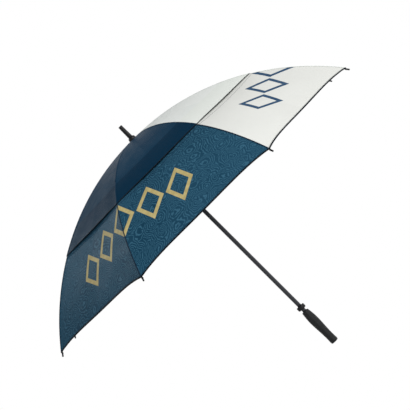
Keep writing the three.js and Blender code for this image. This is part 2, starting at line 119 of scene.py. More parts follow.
def new_object(name, verts, faces, material, smooth=True):
    """A mesh object with its faces turned outward."""
    mesh = bpy.data.meshes.new(name)
    mesh.from_pydata([tuple(v) for v in verts], [], faces)
    mesh.materials.append(material)
    mesh.polygons.foreach_set("use_smooth", [smooth] * len(mesh.polygons))
    mesh.update()
    bm = bmesh.new()
    bm.from_mesh(mesh)
    bmesh.ops.recalc_face_normals(bm, faces=bm.faces)
    bm.to_mesh(mesh)
    bm.free()
    return add_object(name, mesh)


def sharpened(obj):
    """A petal's rim and the crease over its rib stay crisp under smooth shading."""
    bm = bmesh.new()
    bm.from_mesh(obj.data)
    for edge in bm.edges:
        edge.smooth = len(edge.link_faces) == 2 and edge.calc_face_angle() < CREASE_ANGLE
    bm.to_mesh(obj.data)
    bm.free()


def bevelled(obj, width, segments=2):
    bevel = obj.modifiers.new("bevel", "BEVEL")
    bevel.width = width
    bevel.segments = segments
    bevel.limit_method = "ANGLE"
    bevel.angle_limit = BEVEL_ANGLE
    bevel.harden_normals = True
    return obj


def lathe(name, outline, material, sides=64, flats=0, flat_depth=0.0):
    """A solid of revolution about Z from (radius, z) points, closed on itself or ended on the axis.
    flats is how many shallow flats run down its side."""
    verts, faces, rings = [], [], []
    for radius, z in outline:
        if radius < ON_AXIS:
            rings.append([len(verts)])
            verts.append((0, 0, z))
            continue
        ring = []
        for i in range(sides):
            turn = TURN * i / sides
            r = radius
            if flats:
                r -= flat_depth * (1 - cos(flats * turn)) / 2
            ring.append(len(verts))
            verts.append((r * cos(turn), r * sin(turn), z))
        rings.append(ring)
    closed = len(rings[0]) > 1
    for low, high in zip(rings, rings[1:] + rings[:closed]):
        for i in range(sides):
            j = (i + 1) % sides
            if len(low) == 1:
                faces.append((low[0], high[j], high[i]))
            elif len(high) == 1:
                faces.append((low[i], low[j], high[0]))
            else:
                faces.append((low[i], low[j], high[j], high[i]))
    return new_object(name, verts, faces, material)


def swept(name, path, section, material, closed=False, up=Vector((0, 0, 1))):
    """A tube whose section, a list of (side, up) points, follows a path. The section keeps its up."""
    verts, faces = [], []
    count, size = len(path), len(section)
    for i, point in enumerate(path):
        before = path[(i - 1) % count] if closed or i else path[0]
        after = path[(i + 1) % count] if closed or i + 1 < count else path[-1]
        along = (after - before).normalized()
        reference = up[i] if isinstance(up, list) else up
        side = along.cross(reference).normalized()
        top = side.cross(along)
        verts += [point + side * a + top * b for a, b in section]
    for i in range(count if closed else count - 1):
        here, there = i * size, (i + 1) % count * size
        for j in range(size):
            k = (j + 1) % size
            faces.append((here + j, here + k, there + k, there + j))
    if not closed:
        faces.append(tuple(range(size)))
        faces.append(tuple(range((count - 1) * size, count * size)))
    return new_object(name, verts, faces, material)


def steps(start, end, count):
    """Evenly spaced values from start to end, count of them after the first."""
    return [start + (end - start) * i / count for i in range(count + 1)]


def circle(radius, sides):
    turns = [TURN * i / sides for i in range(sides)]
    return [(radius * cos(t), radius * sin(t)) for t in turns]


def arc_outline(centre, radius, start, end):
    """Points of an arc between two angles in degrees."""
    turns = [radians(angle) for angle in steps(start, end, ARC_STEPS)]
    return [(centre[0] + radius * cos(t), centre[1] + radius * sin(t)) for t in turns]


def rectangle(left, right, bottom, top):
    """The outline of a rectangle, for a slab or a lathe."""
    return [(left, bottom), (right, bottom), (right, top), (left, top)]


def prism(name, first, second, material):
    """A flat-sided solid between two outlines with the same number of points."""
    count = len(first)
    faces = [tuple(range(count)), tuple(range(count, 2 * count))]
    faces += [(i, (i + 1) % count, count + (i + 1) % count, count + i) for i in range(count)]
    return new_object(name, first + second, faces, material, smooth=False)


def slab(name, outline, low, high, material):
    """A plate from an outline in the XZ plane, between two values of Y."""
    return prism(name, *([(x, y, z) for x, z in outline] for y in (low, high)), material)


def with_modifiers(obj):
    """A copy of the object's mesh with its modifiers applied."""
    bpy.context.view_layer.update()
    depsgraph = bpy.context.evaluated_depsgraph_get()
    return bpy.data.meshes.new_from_object(obj.evaluated_get(depsgraph))


def joined(name, objects):
    """One object from several, with their modifiers applied first."""
    bm = bmesh.new()
    for obj in objects:
        bm.from_mesh(with_modifiers(obj))
    mesh = bpy.data.meshes.new(name)
    bm.to_mesh(mesh)
    bm.free()
    mesh.materials.append(objects[0].data.materials[0])
    for obj in objects:
        bpy.data.objects.remove(obj)
    return add_object(name, mesh)


def cut_out(obj, cutter):
    """Takes the cutter's shape out of the object."""
    modifier = obj.modifiers.new("cut", "BOOLEAN")
    modifier.object = cutter
    modifier.solver = "EXACT"
    obj.data = with_modifiers(obj)
    obj.modifiers.clear()
    bpy.data.objects.remove(cutter)


def split_by_side(obj, material):
    """Gives the half with Y above 0 a second material."""
    obj.data.materials.append(material)
    for face in obj.data.polygons:
        face.material_index = int(face.center.y > 0)


def turn_to_rib(obj, rib):
    """Turns a piece that was made in the XZ plane to its rib's place round the shaft."""
    obj.data.transform(Matrix.Rotation(rib_azimuth(rib), 4, "Z"))


def place(obj, body, slot, *nodes):
    """Rides the body and stands for the CAD nodes, which it hides. slot is not used."""
    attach(obj, body)
    if nodes:
        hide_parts(*nodes)
    return obj


# ---- materials


def srgb(red, green, blue):
    def linear(value):
        value /= 255
        return value / 12.92 if value <= 0.04045 else ((value + 0.055) / 1.055) ** 2.4

    return (linear(red), linear(green), linear(blue), 1.0)


class Nodes:
    """Short names for building a node tree."""

    def __init__(self, tree):
        self.tree = tree

    def node(self, kind, **settings):
        made = self.tree.nodes.new(kind)
        for key, value in settings.items():
            setattr(made, key, value)
        return made

    def feed(self, socket, value):
        if isinstance(value, bpy.types.NodeSocket):
            self.tree.links.new(value, socket)
        else:
            socket.default_value = value

    def fed(self, kind, *values, **settings):
        """The first output of a node whose first sockets are fed with the values."""
        made = self.node(kind, **settings)
        for socket, value in zip(made.inputs, values):
            self.feed(socket, value)
        return made.outputs[0]

    def math(self, operation, *values):
        return self.fed("ShaderNodeMath", *values, operation=operation)

    def attribute(self, name):
        return self.node("ShaderNodeAttribute", attribute_name=name).outputs["Fac"]

    def combine(self, x, y, z=0.0):
        return self.fed("ShaderNodeCombineXYZ", x, y, z)

    def object_point(self):
        return self.node("ShaderNodeTexCoord").outputs["Object"]

    def noise(self, vector, scale, output="Fac", **settings):
        """settings are the noise's detail, roughness and distortion."""
        made = self.node("ShaderNodeTexNoise")
        self.feed(made.inputs["Vector"], vector)
        made.inputs["Scale"].default_value = scale
        for key, value in settings.items():
            made.inputs[key.title()].default_value = value
        return made.outputs[output]

    def wobbled(self, vector, scale, amount):
        """The vector moved about by slow noise."""
        by = self.noise(vector, scale, output="Color")
        return self.fed("ShaderNodeVectorMath", by, (amount,) * 3, vector, operation="MULTIPLY_ADD")

    def spread(self, value, low, high, to_low=0.0, to_high=1.0):
        """Takes the value smoothly from to_low to to_high as it goes from low to high."""
        values = (value, low, high, to_low, to_high)
        return self.fed("ShaderNodeMapRange", *values, interpolation_type="SMOOTHSTEP")

    def mix(self, share, first, second):
        made = self.node("ShaderNodeMix", data_type="RGBA")
        self.feed(made.inputs["Factor"], share)
        self.feed(made.inputs[6], first)
        self.feed(made.inputs[7], second)
        return made.outputs[2]


class Finish(Nodes):
    """A material and its node tree."""

    def __init__(self, name):
        self.material = bpy.data.materials.new(name)
        self.material.use_nodes = True
        super().__init__(self.material.node_tree)
        self.shader = self.tree.nodes["Principled BSDF"]

    def bump(self, height, strength, distance):
        made = self.node("ShaderNodeBump")
        made.inputs["Strength"].default_value = strength
        made.inputs["Distance"].default_value = distance
        self.feed(made.inputs["Height"], height)
        self.feed(self.shader.inputs["Normal"], made.outputs["Normal"])

    def set(self, **values):
        for name, value in values.items():
            self.feed(self.shader.inputs[name.replace("_", " ")], value)


THREAD = 0.0008  # spacing of the cloth's threads
PRINT_PITCH = 0.0057  # from line to line in the tone-on-tone print
PRINT_WHORL = 0.055  # size of the patches in which its lines curve round one point
MOTIF_HEIGHT = 0.150  # of a diamond
MOTIF_WIDTH = 0.100
MOTIF_PITCH = 0.106  # from diamond to diamond
MOTIF_COUNT = 5
MOTIF_LINE = 0.32  # width of a diamond's outline, as a share of its half size
MOTIF_EDGE = 0.02  # over which the ink fades out
MOTIF_THROUGH = 0.3  # how much of the motif shows on the cloth's inner face
OVERLAP_START = 0.466 * ARC_LENGTH  # where the upper canopy comes to lie over the lower one, and its painted shade begins
OVERLAP_FADE = 0.003
PUCKER_REACH = 0.03  # how far the cloth is puckered beside a seam
WAVE_SCALE = 0.32  # what gives a wave texture one ridge to the metre


def motif_mask(n):
    """A generic row of outlined diamonds over every second rib."""
    across = n.attribute("motif_across")
    cell = n.math("FRACT", n.math("ADD", n.math("DIVIDE", across, MOTIF_PITCH), 0.5))
    from_middle = n.math("ABSOLUTE", n.math("SUBTRACT", cell, 0.5))
    beside = n.math("MULTIPLY", from_middle, 2 * MOTIF_PITCH / MOTIF_WIDTH)
    above = n.math("ABSOLUTE", n.math("DIVIDE", n.attribute("motif_along"), MOTIF_HEIGHT / 2))
    size = n.math("ADD", beside, above)
    inner = 1 - MOTIF_LINE
    hollow = n.spread(size, inner - MOTIF_EDGE / 2, inner + MOTIF_EDGE / 2)
    outline = n.math("MULTIPLY", hollow, n.spread(size, 1.0, 1.0 - MOTIF_EDGE))
    row = n.math("LESS_THAN", across, MOTIF_COUNT * MOTIF_PITCH / 2)
    return n.math("MULTIPLY", outline, row)


def print_mask(n, flat):
    """Fine curved lines in patches, like a maze: bent rings round scattered points."""
    cells = n.node("ShaderNodeTexVoronoi")
    n.feed(cells.inputs["Vector"], n.wobbled(flat, scale=26.0, amount=0.025))
    cells.inputs["Scale"].default_value = 1 / PRINT_WHORL
    rings = n.math("MULTIPLY", cells.outputs["Distance"], TURN * PRINT_WHORL / PRINT_PITCH)
    breaks = n.spread(n.noise(flat, scale=150.0, detail=1.0), low=0.34, high=0.44)
    lines = n.spread(n.math("SINE", rings), low=0.0, high=0.8)
    return n.math("MULTIPLY", lines, breaks)


def canopy_cloth(name, base, shade, overlap_painted_shade=None, lines=None, motif=None):
    """Woven canopy cloth that drifts from a base colour to a shade of it. The third colour is its
    painted shade where it lies over the other canopy, for the light that comes through one layer and
    not two; lines the colour of its print, and motif the motif's two inks."""
    n = Finish(name)
    across, along, rib = n.attribute("across"), n.attribute("along"), n.attribute("rib")
    flat = n.combine(across, along, rib)
    drift = n.spread(n.noise(flat, scale=5.0, detail=3.0), low=0.35, high=0.7)
    colour = n.mix(drift, base, shade)
    if overlap_painted_shade:
        # painted shade: the upper cloth turns darker where the lower canopy lies under it, for the
        # light that gets through one layer and not two
        over = n.spread(along, OVERLAP_START, OVERLAP_START + OVERLAP_FADE)
        colour = n.mix(over, colour, overlap_painted_shade)
    warp = n.math("SINE", n.math("MULTIPLY", across, TURN / THREAD))
    weft = n.math("SINE", n.math("MULTIPLY", along, TURN / THREAD))
    weave = n.math("MULTIPLY", warp, weft)
    height = n.math("MULTIPLY", weave, 0.3)
    if lines:
        colour = n.mix(print_mask(n, flat), colour, lines)
    if motif:
        through = n.spread(n.attribute("inside"), 0.0, 1.0, to_low=1.0, to_high=MOTIF_THROUGH)
        printed = n.math("MULTIPLY", motif_mask(n), through)
        tone = n.spread(n.noise(flat, scale=60.0, detail=2.0), low=0.3, high=0.7)
        colour = n.mix(printed, colour, n.mix(tone, motif[0], motif[1]))
        height = n.math("ADD", height, n.math("MULTIPLY", printed, 0.5))
    near_seam = n.spread(n.math("ABSOLUTE", across), 0.0, PUCKER_REACH, to_low=1.0, to_high=0.0)
    stretched = n.combine(n.math("MULTIPLY", across, 25.0), n.math("MULTIPLY", along, 130.0))
    pucker = n.math("MULTIPLY", n.noise(stretched, scale=1.0), near_seam)
    height = n.math("ADD", height, n.math("MULTIPLY", pucker, 1.2))
    n.bump(height, strength=0.35, distance=0.0004)
    polish = n.noise(flat, scale=18.0, detail=2.0)
    n.set(Base_Color=colour, Roughness=n.spread(polish, 0.3, 0.7, to_low=0.36, to_high=0.46))
    n.shader.inputs["Specular IOR Level"].default_value = 0.015
    return n.material


def scaled(colour, by, plus=0.0):
    """A colour made darker or paler."""
    return tuple(min(1.0, c * by + plus) for c in colour[:3]) + (1,)


def plain_cloth(name, base, pitch=0.0012):
    """Binding tape, thread and webbing: a ribbed weave. pitch is from ridge to ridge."""
    n = Finish(name)
    point = n.object_point()
    wave = n.node("ShaderNodeTexWave")
    n.feed(wave.inputs["Vector"], point)
    wave.inputs["Scale"].default_value = WAVE_SCALE / pitch
    wave.inputs["Distortion"].default_value = 1.0
    tone = n.mix(n.noise(point, scale=240.0), base, scaled(base, 1.5))
    n.bump(wave.outputs["Fac"], strength=0.4, distance=0.0003)
    n.set(Base_Color=tone, Roughness=0.78)
    n.shader.inputs["Sheen Weight"].default_value = 0.02
    n.shader.inputs["Specular IOR Level"].default_value = 0.1
    return n.material


def moulded(name, base, roughness, grain=900.0, depth=0.00008):
    """Moulded plastic or rubber, with a fine grain and edges worn a little paler."""
    n = Finish(name)
    point = n.object_point()
    fine = n.noise(point, grain, detail=3.0, roughness=0.6)
    edges = n.node("ShaderNodeNewGeometry").outputs["Pointiness"]
    worn = n.spread(edges, low=0.52, high=0.6)
    patches = n.spread(n.noise(point, scale=90.0, detail=3.0), 0.35, 0.7, to_low=0.0, to_high=0.5)
    n.bump(fine, strength=0.5, distance=depth)
    share = n.math("MAXIMUM", worn, patches)
    n.set(Base_Color=n.mix(share, base, scaled(base, 1.35, plus=0.004)))
    n.set(Roughness=n.spread(fine, 0.3, 0.7, to_low=roughness - 0.06, to_high=roughness + 0.08))
    n.shader.inputs["Specular IOR Level"].default_value = 0.2
    return n.material


def drawn_metal(name, base, roughness, metallic=1.0):
    """Metal or coated tube with fine marks drawn out along Z."""
    n = Finish(name)
    mapping = n.node("ShaderNodeMapping")
    n.feed(mapping.inputs["Vector"], n.object_point())
    mapping.inputs["Scale"].default_value = (900.0, 900.0, 12.0)
    marks = n.noise(mapping.outputs[0], scale=1.0, detail=3.0)
    n.bump(marks, strength=0.15, distance=0.00005)
    n.set(Base_Color=n.mix(n.spread(marks, low=0.3, high=0.7), scaled(base, 0.75), base))
    n.set(Metallic=metallic)
    n.set(Roughness=n.spread(marks, 0.3, 0.7, to_low=roughness, to_high=roughness + 0.12))
    return n.material


def glass_fibre(name):
    """Pultruded rod: fine streaks under a thin satin resin skin."""
    n = Finish(name)
    streaks = n.noise(n.object_point(), scale=700.0, detail=4.0, roughness=0.7, distortion=1.5)
    n.bump(streaks, strength=0.2, distance=0.00006)
    pale = n.spread(streaks, low=0.35, high=0.7)
    n.set(Base_Color=n.mix(pale, srgb(24, 26, 30), srgb(52, 55, 60)))
    n.set(Roughness=n.spread(streaks, 0.3, 0.7, to_low=0.3, to_high=0.45))
    n.shader.inputs["Coat Weight"].default_value = 0.3
    n.shader.inputs["Coat Roughness"].default_value = 0.25
    return n.material


CLOTHS = {
    # The upper cloths' overlap tones are painted shade where they lie over the lower canopy.
    "navy_upper": canopy_cloth(
        "cloth_navy_upper", base=srgb(21, 57, 81), shade=srgb(18, 53, 77), overlap_painted_shade=srgb(8, 44, 67)
    ),
    "navy_lower": canopy_cloth(
        "cloth_navy_lower", base=srgb(33, 70, 92), shade=srgb(25, 61, 82),
        lines=srgb(54, 96, 119), motif=(srgb(192, 177, 124), srgb(176, 160, 108)),
    ),
    "white_upper": canopy_cloth(
        "cloth_white_upper", base=srgb(216, 219, 216), shade=srgb(211, 215, 212),
        overlap_painted_shade=srgb(212, 216, 211),
    ),
    "white_lower": canopy_cloth(
        "cloth_white_lower", base=srgb(204, 205, 201), shade=srgb(200, 201, 197),
        motif=(srgb(42, 68, 96), srgb(52, 78, 104)),
    ),
}
BINDING = plain_cloth("binding_tape", srgb(12, 18, 24))
NAVY_SEAM = plain_cloth("seam_navy", srgb(13, 33, 50))
UPPER_NAVY_SEAM = plain_cloth("seam_upper_navy", srgb(19, 46, 66))
WHITE_SEAM = plain_cloth("seam_white", srgb(190, 194, 190))
STITCHES = {
    "navy": plain_cloth("thread_navy", srgb(17, 44, 64), pitch=0.0006),
    "white": plain_cloth("thread_grey", srgb(120, 124, 124), pitch=0.0006),
}
STRAP_WEB = plain_cloth("strap_webbing", srgb(24, 58, 82), pitch=0.0018)
THREAD_BLACK = plain_cloth("thread_black", srgb(14, 15, 18), pitch=0.0006)
BLACK_PLASTIC = moulded("black_plastic", srgb(21, 21, 23), roughness=0.42)
GRIP_RUBBER = moulded("grip_rubber", srgb(29, 30, 31), roughness=0.6, grain=1400.0, depth=0.00018)
SHAFT_COAT = drawn_metal("shaft_coat", srgb(50, 52, 57), roughness=0.3, metallic=0.35)
STEEL = drawn_metal("steel", srgb(188, 191, 196), roughness=0.22)
FIBRE = glass_fibre("glass_fibre")


# ---- canopy

COLUMNS = 20  # faces across a petal
EDGE_STEPS = 24
PRINT_SHIFT = 3.7  # from rib to rib, so that the petals' patterns differ
FACTS = ("across", "along", "rib", "motif_across", "motif_along", "inside")
STITCH_BELOW_VENT = 0.009 / ARC_LENGTH
STITCH_ABOVE_HEM = 0.005 / ARC_LENGTH
SEAM_HALF_WIDTH = 0.0018
SEAM_LIFT = 0.0002
LOW_SEAM_START, LOW_SEAM_END = VENT_SHARE + 0.002, 0.998


def arc_point(radius, angle):
    return Vector((radius * sin(angle), 0, CENTRE_Z + radius * cos(angle)))


def sheet_point(radius, share, across, scallop, sag):
    """A point of a petal in its rib's frame. across runs from -1 to 1, gore middle to gore middle."""
    width, side = abs(across), copysign(1, across)
    bow = 2 * width - width * width
    angle = HALF_ANGLE * share - scallop * (1 - (1 - width) ** SCALLOP_POWER) / radius
    rib = arc_point(radius, angle)
    sine, cosine = sin(HALF_STEP), cos(HALF_STEP)
    x = rib.x * (1 - width * sine * sine)
    y = side * rib.x * width * sine * cosine
    outward = Vector((sin(angle) * cosine, side * sin(angle) * sine, cos(angle)))
    return Vector((x, y, rib.z)) - outward * sag * bow


def upper_shape(share):
    """Scallop and sag of the upper canopy at a share of the arc."""
    grown = share / VENT_SHARE
    return VENT_SCALLOP * grown**3, UPPER_SAG * grown


def lower_shape(share):
    tightened = (share - LOWER_START) / (1 - LOWER_START)
    return HEM_SCALLOP * tightened**3, LOWER_SAG * (SAG_AT_TOP + (1 - SAG_AT_TOP) * tightened)


def gore_width(share):
    """Half a gore's width, from rib to middle, at a share of the arc."""
    return CANOPY_RADIUS * sin(HALF_ANGLE * share) * sin(HALF_STEP)


MOTIF_SHARE = 0.70  # where the middle of a motif crosses its rib
NEARBY = 0.01
WIDENING = gore_width(MOTIF_SHARE + NEARBY) - gore_width(MOTIF_SHARE - NEARBY)
SEAM_LEAN = asin(WIDENING / (2 * NEARBY * ARC_LENGTH))


def motif_point(rib, share, width):
    """How far a point of the cloth, laid flat, is across and along the seam its motif is centred on."""
    half = gore_width(share)
    from_seam = abs(width) * half if rib % 2 == 0 else (2 - abs(width)) * half
    inward = from_seam - half + gore_width(MOTIF_SHARE)
    outward = (share - MOTIF_SHARE) * ARC_LENGTH * cos(SEAM_LEAN)
    across = inward * cos(SEAM_LEAN) + outward * sin(SEAM_LEAN)
    along = outward * cos(SEAM_LEAN) - inward * sin(SEAM_LEAN)
    return across, along


def closed_grid(rows, columns):
    """Faces of a thin closed sheet: two grids of points, one over the other, with a rim."""
    size = (rows + 1) * (columns + 1)
    faces = []
    for i in range(rows):
        for j in range(columns):
            a = i * (columns + 1) + j
            quad = (a, a + columns + 1, a + columns + 2, a + 1)
            faces.append(quad)
            faces.append(tuple(size + v for v in reversed(quad)))
    edge = list(range(columns))
    edge += [i * (columns + 1) + columns for i in range(rows)]
    edge += [rows * (columns + 1) + j for j in range(columns, 0, -1)]
    edge += [i * (columns + 1) for i in range(rows, 0, -1)]
    for a, b in zip(edge, edge[1:] + edge[:1]):
        faces.append((a, b, size + b, size + a))
    return faces


def petal(name, rib, radius, shape, start, end, rows, cloths, body, node):
    """One petal of cloth round a rib. cloths are the materials on its two sides."""
    verts, facts = [], []
    for depth in (0.0, CLOTH):
        for share in steps(start, end, rows):
            scallop, sag = shape(share)
            for j in range(-COLUMNS // 2, COLUMNS // 2 + 1):
                width = 2 * j / COLUMNS
                verts.append(sheet_point(radius - depth, share, width, scallop, sag))
                flat = (width * gore_width(share), share * ARC_LENGTH, rib * PRINT_SHIFT)
                facts.append(flat + motif_point(rib, share, width) + (depth / CLOTH,))
    obj = new_object(name, verts, closed_grid(rows, COLUMNS), cloths[0])
    split_by_side(obj, cloths[1])
    for key, values in zip(FACTS, zip(*facts)):
        attribute = obj.data.attributes.new(key, "FLOAT", "POINT")
        attribute.data.foreach_set("value", values)
    sharpened(obj)
    turn_to_rib(obj, rib)
    both_navy = cloths[0] is cloths[1] and "navy" in cloths[0].name
    place(obj, body, "fabric_navy" if both_navy else "fabric_white", node)
    return fold_away(obj)


def fold_away(obj):
    """Gives the piece a mesh of its own."""
    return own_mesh(obj)


def outward_at(points):
    centre = Vector((0, 0, CENTRE_Z))
    return [(p - centre).normalized() for p in points]


def along_edge(name, rib, canopy, share, section, materials, lift=0.0):
    """A tape, rolled hem or row of stitches along a petal's edge."""
    radius, shape = canopy
    widths = [2 * j / EDGE_STEPS - 1 for j in range(EDGE_STEPS + 1)]
    line = [sheet_point(radius, share, width, *shape(share)) for width in widths]
    points = [p + up * lift for p, up in zip(line, outward_at(line))]
    obj = swept(name, points, section, materials[0], up=outward_at(points))
    if materials[1] is not materials[0]:
        split_by_side(obj, materials[1])
    turn_to_rib(obj, rib)
    place(obj, f"rib_outer_{rib}", "binding")
    return fold_away(obj)


def cut_box(half_width, half_height, cut):
    """A rectangle with cut corners, as a sweep's section."""
    w, h = half_width, half_height
    right = [(w, cut - h), (w, h - cut), (w - cut, h)]
    left = [(cut - w, h), (-w, h - cut), (-w, cut - h)]
    return right + left + [(cut - w, -h), (w - cut, -h)]


# A span is a cloth's first and last share, and its rows of faces.
CROWN_SPAN = (CROWN_SHARE, JOINT_SHARE, 22)
VENT_SPAN = (JOINT_SHARE, VENT_SHARE, 8)
HEM_SPAN = (LOWER_START, 1, 24)
TAPE = cut_box(0.0026, 0.0011, cut=0.0006)
ROLL = cut_box(0.0013, 0.0008, cut=0.0004)
VENT_STITCH = (0.0005, 0.0002)  # a row's radius, and its middle's height over the cloth
HEM_STITCH = (0.0003, 0.0001)
SEAM_SECTION = cut_box(SEAM_HALF_WIDTH, 0.0005, cut=0.0003)


def canopy_for(rib):
    """A rib's three petals of cloth, with their bindings and stitches."""
    tones = ["navy" if NAVY_GORES[gore % RIBS] else "white" for gore in (rib - 2, rib - 1)]
    upper = [CLOTHS[f"{tone}_upper"] for tone in tones]
    lower = [CLOTHS[f"{tone}_lower"] for tone in tones]
    inner, outer = f"rib_inner_{rib}", f"rib_outer_{rib}"
    top, bottom = f"canopy_upper_{rib}", f"canopy_lower_{rib}"
    over, under = (CANOPY_RADIUS, upper_shape), (LOWER_RADIUS, lower_shape)
    crown = petal(f"upper_cloth_{rib}", rib, *over, *CROWN_SPAN, upper, inner, top)
    vent = petal(f"vent_cloth_{rib}", rib, *over, *VENT_SPAN, upper, outer, top)
    hem = petal(f"lower_cloth_{rib}", rib, *under, *HEM_SPAN, lower, outer, bottom)

    black, threads = (BINDING, BINDING), [STITCHES[tone] for tone in tones]
    below_vent, above_hem = VENT_SHARE + STITCH_BELOW_VENT, 1.0 - STITCH_ABOVE_HEM
    hem_tape = along_edge(f"hem_binding_{rib}", rib, under, 1.0, TAPE, black)
    vent_roll = along_edge(f"vent_binding_{rib}", rib, over, VENT_SHARE, ROLL, black)
    rows = (("vent", below_vent, VENT_STITCH), ("hem", above_hem, HEM_STITCH))
    vent_row, hem_row = [
        along_edge(f"{name}_stitch_{rib}", rib, under, share, circle(radius, 6), threads, lift)
        for name, share, (radius, lift) in rows
    ]


def seam(name, rib, start, end, radius, material, body, rows=16):
    """The folded seam that joins two gores over a rib."""
    points = [arc_point(radius + SEAM_LIFT, HALF_ANGLE * s) for s in steps(start, end, rows)]
    obj = swept(name, points, SEAM_SECTION, material, up=outward_at(points))
    turn_to_rib(obj, rib)
    place(obj, body, "fabric_white" if material is WHITE_SEAM else "fabric_navy")


def seams_for(rib):
    all_white = not NAVY_GORES[(rib - 2) % RIBS] and not NAVY_GORES[rib - 1]
    upper, lower = (WHITE_SEAM, WHITE_SEAM) if all_white else (UPPER_NAVY_SEAM, NAVY_SEAM)
    inner, outer = f"rib_inner_{rib}", f"rib_outer_{rib}"
    seam(f"seam_upper_{rib}", rib, CROWN_SHARE, JOINT_SHARE, CANOPY_RADIUS, upper, inner)
    seam(f"seam_vent_{rib}", rib, JOINT_SHARE, VENT_SHARE, CANOPY_RADIUS, upper, outer, rows=6)
    seam(f"seam_lower_{rib}", rib, LOW_SEAM_START, LOW_SEAM_END, LOWER_RADIUS, lower, outer)


# ---- ribs and stretchers

BAR_HALF_HEIGHT = 0.002
BAR_HALF_WIDTH = 0.0012
ROD_RADIUS = 0.0018
FORK_HALF_WIDTH = 0.0031
SLOT_HALF_WIDTH = 0.0018
JOINT_ANGLE = HALF_ANGLE * JOINT_SHARE
PIVOT_ANGLE = asin(PIVOT_R / RIB_RADIUS)
STRETCHER_DROP = hypot(JOINT_R - PIN_R, JOINT_Z - PIN_Z)
TIP_LENGTH = 0.0135
TIP_RADIUS = 0.0026
ROD_PAST_HEM = 0.009
EYE_RADIUS = 0.0022  # of a rib's end round its pin
PIN_HEAD_RADIUS = 0.0015
PIN_SHANK_RADIUS = 0.55 * PIN_HEAD_RADIUS
PIN_HALF_LENGTH = 0.0033
CHEEK_RADIUS = 0.0026
FORK_TOP = 0.0023
FORK_BACK = -0.013
TAB_LENGTH, TAIL_LENGTH = 0.02, 0.018  # of a rib's flat ends
ROD_FROM_PIVOT, ROD_TO_JOINT, ROD_FROM_JOINT = 0.012, 0.011, 0.01
TIP_PAST_HEM = 0.0006
TIE_SHARES = (0.2, 0.36, 0.7, 0.86)
THREAD_TURNS = 3
THREAD_STEPS = 14  # to a turn


def on_rib(angle, rib):
    """The place on the rib's arc where X runs outwards along it."""
    spot = Matrix.Translation(arc_point(RIB_RADIUS, angle)) @ Matrix.Rotation(angle, 4, "Y")
    return Matrix.Rotation(rib_azimuth(rib), 4, "Z") @ spot


def eye_bar(name, length, rib, angle):
    """A rib's flat end, round about its pin."""
    outline = arc_outline((0, 0), EYE_RADIUS, 65, 295)
    outline += [(length, -BAR_HALF_HEIGHT), (length, BAR_HALF_HEIGHT)]
    bar = slab(name, outline, -BAR_HALF_WIDTH, BAR_HALF_WIDTH, FIBRE)
    bevelled(bar, 0.0003)
    bar.data.transform(on_rib(angle, rib))
    return bar


def rib_rod(name, rib, start, end, count):
    points = [arc_point(RIB_RADIUS, angle) for angle in steps(start, end, count)]
    rod = swept(name, points, circle(ROD_RADIUS, 12), FIBRE, up=outward_at(points))
    turn_to_rib(rod, rib)
    return rod


def rivet(name, rib, drop):
    """A pin through the fork, drop below the rib, with a domed head on each side."""
    radius, half = PIN_HEAD_RADIUS, PIN_HALF_LENGTH
    head = [(PIN_SHANK_RADIUS, half), (radius, half), (radius * 0.7, half + 0.0005), (0, half + 0.0007)]
    outline = [(r, -z) for r, z in reversed(head)] + head
    pin = lathe(name, outline, STEEL, 16)
    across = Matrix.Rotation(pi / 2, 4, "X")
    pin.data.transform(on_rib(JOINT_ANGLE, rib) @ Matrix.Translation((0, 0, -drop)) @ across)
    return place(pin, f"rib_inner_{rib}", "steel")


def fork_parts(rib):
    """Two cheeks that hold both pins, joined by a block behind the slot between them."""
    cheek = [(FORK_BACK, FORK_TOP)]
    cheek += arc_outline((0, 0), CHEEK_RADIUS, 90, 0)
    cheek += arc_outline((0, -STRETCHER_DROP), CHEEK_RADIUS, 0, -180)
    cheek += [(-2 * CHEEK_RADIUS, -FORK_TOP), (FORK_BACK, -FORK_TOP)]
    parts = []
    for side in (-1, 1):
        low, high = sorted((side * SLOT_HALF_WIDTH, side * FORK_HALF_WIDTH))
        parts.append(slab(f"cheek_{side}_{rib}", cheek, low, high, BLACK_PLASTIC))
    block = rectangle(FORK_BACK, -0.005, -FORK_TOP, FORK_TOP)
    parts.append(slab(f"block_{rib}", block, -SLOT_HALF_WIDTH, SLOT_HALF_WIDTH, BLACK_PLASTIC))
    for part in parts:
        bevelled(part, 0.0003)
        part.data.transform(on_rib(JOINT_ANGLE, rib))
    return parts


def rib_for(rib):
    inner, outer = f"rib_inner_{rib}", f"rib_outer_{rib}"
    rod_start = PIVOT_ANGLE + ROD_FROM_PIVOT / RIB_RADIUS
    rod_end = JOINT_ANGLE - ROD_TO_JOINT / RIB_RADIUS
    tab = eye_bar(f"tab_{rib}", TAB_LENGTH, rib, PIVOT_ANGLE)
    rod = rib_rod(f"rod_{rib}", rib, rod_start, rod_end, 20)
    place(joined(f"inner_rib_{rib}", [tab, rod]), inner, "fibreglass", inner)
    place(joined(f"rib_fork_{rib}", fork_parts(rib)), inner, "black_plastic", inner)
    rivet(f"rib_pin_{rib}", rib, 0)
    rivet(f"stretcher_pin_{rib}", rib, STRETCHER_DROP)

    outer_start = JOINT_ANGLE + ROD_FROM_JOINT / RIB_RADIUS
    outer_end = HALF_ANGLE + ROD_PAST_HEM / RIB_RADIUS
    tail = eye_bar(f"tail_{rib}", TAIL_LENGTH, rib, JOINT_ANGLE)
    long_rod = rib_rod(f"long_rod_{rib}", rib, outer_start, outer_end, 24)
    place(joined(f"outer_rib_{rib}", [tail, long_rod]), outer, "fibreglass", outer)
    tip_for(rib, outer)
    ties_for(rib)


